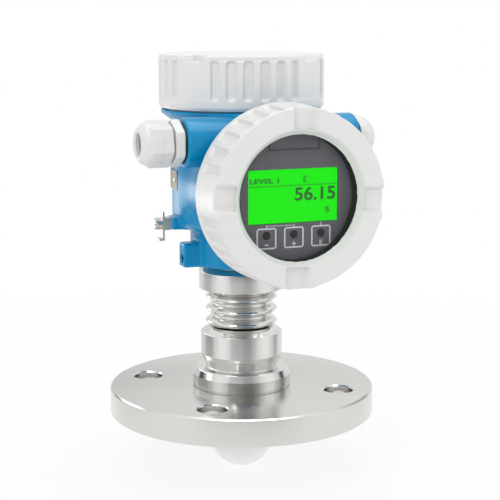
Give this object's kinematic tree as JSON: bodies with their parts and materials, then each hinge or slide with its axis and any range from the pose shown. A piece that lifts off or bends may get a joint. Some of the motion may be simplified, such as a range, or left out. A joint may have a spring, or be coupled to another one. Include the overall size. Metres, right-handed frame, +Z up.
{
  "type": "radar level transmitter",
  "caption": "Flanged radar level transmitter: dome antenna, finned steel neck, cast housing with two screwed covers, plug-in display, cable gland and blind plug.",
  "frame": {"origin": "centre of the flange's sealing face, on the neck's axis", "axes": "+Z up along the neck from the flange to the connection cover, -Y the way the display looks, -X the side of the cable gland, +X the side of the blind plug"},
  "size_m": [0.165, 0.1772, 0.2601],
  "materials": {
    "stainless_steel": "fine turned",
    "dark_steel": "blackened",
    "blue_powder_coat": "glossy powder coat on cast aluminium",
    "grey_powder_coat": "satin powder coat on cast aluminium",
    "grey_polyamide": "moulded",
    "white_fluoropolymer": "machined",
    "seal_rubber": "moulded",
    "grey_rubber": "moulded",
    "brass": "turned",
    "black_polymer": "moulded",
    "display_polymer": "moulded, printed key outlines",
    "screen": "backlit liquid crystal panel",
    "key_lens": "infrared window",
    "circuit_board": "potted circuit board",
    "window_glass": "polished"
  },
  "bodies": {
    "process_side": {"flange": "stainless_steel", "process_adapter": "stainless_steel", "antenna_dome": "white_fluoropolymer", "antenna_seal": "seal_rubber", "feed_window": "white_fluoropolymer", "waveguide": "brass", "finned_neck": "stainless_steel", "neck_seal": "seal_rubber", "neck_retaining_ring": "dark_steel"},
    "housing_side": {"housing": "blue_powder_coat", "compartment_feedthrough": "black_polymer", "electronics_module": "circuit_board", "display_holder": "black_polymer", "terminal_block": "black_polymer", "terminal_screws": "stainless_steel", "gland_body": "grey_polyamide", "gland_gasket": "seal_rubber", "gland_seal": "grey_rubber", "blind_plug": "grey_polyamide", "plug_gasket": "seal_rubber", "ground_clamp": "stainless_steel", "ground_screw": "stainless_steel", "locking_screw": "dark_steel", "cover_lock": "stainless_steel", "cover_lock_screw": "dark_steel", "nameplate": "stainless_steel", "nameplate_rivets": "stainless_steel"},
    "connection_cover_carrier": {"connection_cover_seal": "seal_rubber"},
    "connection_cover_cap": {"connection_cover": "grey_powder_coat"},
    "display_cover_carrier": {"display_cover_seal": "seal_rubber"},
    "display_cover_cap": {"display_cover": "grey_powder_coat", "window_glass": "window_glass", "glass_retainer": "black_polymer"},
    "display_module": {"display_shell": "display_polymer", "screen_panel": "screen", "key_lenses": "key_lens", "display_board": "circuit_board"},
    "gland_carrier": {"gland_washer": "brass"},
    "gland_cap": {"gland_nut": "grey_polyamide"}
  },
  "joints": [
    {"name": "housing_turn", "type": "hinge", "parent": "process_side", "child": "housing_side", "pos_m": [0, 0, 0.1], "axis": [0, 0, 1], "range_deg": [-175, 175]},
    {"name": "connection_cover_lift", "type": "slide", "parent": "housing_side", "child": "connection_cover_carrier", "axis": [0, 0, 1], "range_m": [0, 0.01601]},
    {"name": "connection_cover_turn", "type": "hinge", "parent": "connection_cover_carrier", "child": "connection_cover_cap", "pos_m": [0, 0, 0.2], "axis": [0, 0, 1], "range_deg": [0, 2880]},
    {"name": "display_cover_lift", "type": "slide", "parent": "housing_side", "child": "display_cover_carrier", "axis": [0, -1, 0], "range_m": [0, 0.01601]},
    {"name": "display_cover_turn", "type": "hinge", "parent": "display_cover_carrier", "child": "display_cover_cap", "pos_m": [0, -0.07, 0.1456], "axis": [0, -1, 0], "range_deg": [0, 2880]},
    {"name": "display_module_turn", "type": "hinge", "parent": "housing_side", "child": "display_module", "pos_m": [0, -0.07, 0.1456], "axis": [0, -1, 0], "range_deg": [-360, 360]},
    {"name": "gland_lift", "type": "slide", "parent": "housing_side", "child": "gland_carrier", "axis": [-1, 0, 0], "range_m": [0, 0.00751]},
    {"name": "gland_turn", "type": "hinge", "parent": "gland_carrier", "child": "gland_cap", "pos_m": [-0.065, -0.0433, 0.1743], "axis": [-1, 0, 0], "range_deg": [0, 1800]}
  ],
  "couplings": [
    {"joint": "connection_cover_lift", "follows": "connection_cover_turn", "m_per_rad": 0.00031831},
    {"joint": "display_cover_lift", "follows": "display_cover_turn", "m_per_rad": 0.00031831},
    {"joint": "gland_lift", "follows": "gland_turn", "m_per_rad": 0.00023873}
  ]
}
